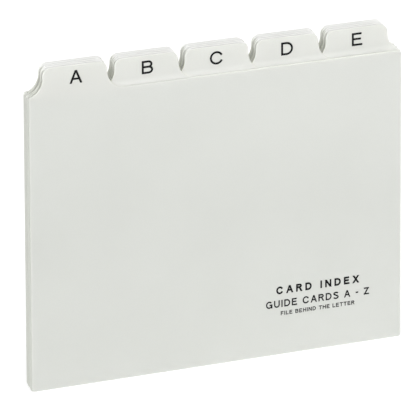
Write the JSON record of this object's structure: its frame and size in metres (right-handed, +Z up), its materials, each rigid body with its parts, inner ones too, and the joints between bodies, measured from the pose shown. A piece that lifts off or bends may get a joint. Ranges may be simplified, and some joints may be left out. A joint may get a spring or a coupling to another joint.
{
  "type": "alphabetical index guide card set",
  "caption": "Upright stack of thin plastic A6 landscape index guides with stepped, lettered tabs, each its own sheet that lifts straight out of the stack.",
  "frame": {"origin": "on the surface that the guides stand on, under the middle of the stack", "axes": "+X across the width of the guides, to the right as read from the front; +Y from the first guide in front to the last at the back; +Z up, from the bottom edges to the tabs"},
  "size_m": [0.1513, 0.0106, 0.115],
  "materials": {
    "plastic_sheet": "satin",
    "print_ink": "matt"
  },
  "bodies": {
    "guide_a": {"guide_a": "plastic_sheet"},
    "guide_b": {"guide_b": "plastic_sheet"},
    "guide_c": {"guide_c": "plastic_sheet"},
    "guide_d": {"guide_d": "plastic_sheet"},
    "guide_e": {"guide_e": "plastic_sheet"},
    "guide_f": {"guide_f": "plastic_sheet"},
    "guide_g": {"guide_g": "plastic_sheet"},
    "guide_h": {"guide_h": "plastic_sheet"},
    "guide_i": {"guide_i": "plastic_sheet"},
    "guide_j": {"guide_j": "plastic_sheet"},
    "guide_k": {"guide_k": "plastic_sheet"},
    "guide_l": {"guide_l": "plastic_sheet"},
    "guide_m": {"guide_m": "plastic_sheet"},
    "guide_n": {"guide_n": "plastic_sheet"},
    "guide_o": {"guide_o": "plastic_sheet"},
    "guide_p": {"guide_p": "plastic_sheet"},
    "guide_q": {"guide_q": "plastic_sheet"},
    "guide_r": {"guide_r": "plastic_sheet"},
    "guide_s": {"guide_s": "plastic_sheet"},
    "guide_t": {"guide_t": "plastic_sheet"},
    "guide_u": {"guide_u": "plastic_sheet"},
    "guide_v": {"guide_v": "plastic_sheet"},
    "guide_w": {"guide_w": "plastic_sheet"},
    "guide_xy": {"guide_xy": "plastic_sheet"},
    "guide_z": {"guide_z": "plastic_sheet"}
  },
  "joints": [
    {"name": "lift_a", "type": "slide", "parent": "guide_z", "child": "guide_a", "axis": [0, 0, 1], "range_m": [0, 0.12]},
    {"name": "lift_b", "type": "slide", "parent": "guide_z", "child": "guide_b", "axis": [0, 0, 1], "range_m": [0, 0.12]},
    {"name": "lift_c", "type": "slide", "parent": "guide_z", "child": "guide_c", "axis": [0, 0, 1], "range_m": [0, 0.12]},
    {"name": "lift_d", "type": "slide", "parent": "guide_z", "child": "guide_d", "axis": [0, 0, 1], "range_m": [0, 0.12]},
    {"name": "lift_e", "type": "slide", "parent": "guide_z", "child": "guide_e", "axis": [0, 0, 1], "range_m": [0, 0.12]},
    {"name": "lift_f", "type": "slide", "parent": "guide_z", "child": "guide_f", "axis": [0, 0, 1], "range_m": [0, 0.12]},
    {"name": "lift_g", "type": "slide", "parent": "guide_z", "child": "guide_g", "axis": [0, 0, 1], "range_m": [0, 0.12]},
    {"name": "lift_h", "type": "slide", "parent": "guide_z", "child": "guide_h", "axis": [0, 0, 1], "range_m": [0, 0.12]},
    {"name": "lift_i", "type": "slide", "parent": "guide_z", "child": "guide_i", "axis": [0, 0, 1], "range_m": [0, 0.12]},
    {"name": "lift_j", "type": "slide", "parent": "guide_z", "child": "guide_j", "axis": [0, 0, 1], "range_m": [0, 0.12]},
    {"name": "lift_k", "type": "slide", "parent": "guide_z", "child": "guide_k", "axis": [0, 0, 1], "range_m": [0, 0.12]},
    {"name": "lift_l", "type": "slide", "parent": "guide_z", "child": "guide_l", "axis": [0, 0, 1], "range_m": [0, 0.12]},
    {"name": "lift_m", "type": "slide", "parent": "guide_z", "child": "guide_m", "axis": [0, 0, 1], "range_m": [0, 0.12]},
    {"name": "lift_n", "type": "slide", "parent": "guide_z", "child": "guide_n", "axis": [0, 0, 1], "range_m": [0, 0.12]},
    {"name": "lift_o", "type": "slide", "parent": "guide_z", "child": "guide_o", "axis": [0, 0, 1], "range_m": [0, 0.12]},
    {"name": "lift_p", "type": "slide", "parent": "guide_z", "child": "guide_p", "axis": [0, 0, 1], "range_m": [0, 0.12]},
    {"name": "lift_q", "type": "slide", "parent": "guide_z", "child": "guide_q", "axis": [0, 0, 1], "range_m": [0, 0.12]},
    {"name": "lift_r", "type": "slide", "parent": "guide_z", "child": "guide_r", "axis": [0, 0, 1], "range_m": [0, 0.12]},
    {"name": "lift_s", "type": "slide", "parent": "guide_z", "child": "guide_s", "axis": [0, 0, 1], "range_m": [0, 0.12]},
    {"name": "lift_t", "type": "slide", "parent": "guide_z", "child": "guide_t", "axis": [0, 0, 1], "range_m": [0, 0.12]},
    {"name": "lift_u", "type": "slide", "parent": "guide_z", "child": "guide_u", "axis": [0, 0, 1], "range_m": [0, 0.12]},
    {"name": "lift_v", "type": "slide", "parent": "guide_z", "child": "guide_v", "axis": [0, 0, 1], "range_m": [0, 0.12]},
    {"name": "lift_w", "type": "slide", "parent": "guide_z", "child": "guide_w", "axis": [0, 0, 1], "range_m": [0, 0.12]},
    {"name": "lift_xy", "type": "slide", "parent": "guide_z", "child": "guide_xy", "axis": [0, 0, 1], "range_m": [0, 0.12]}
  ]
}
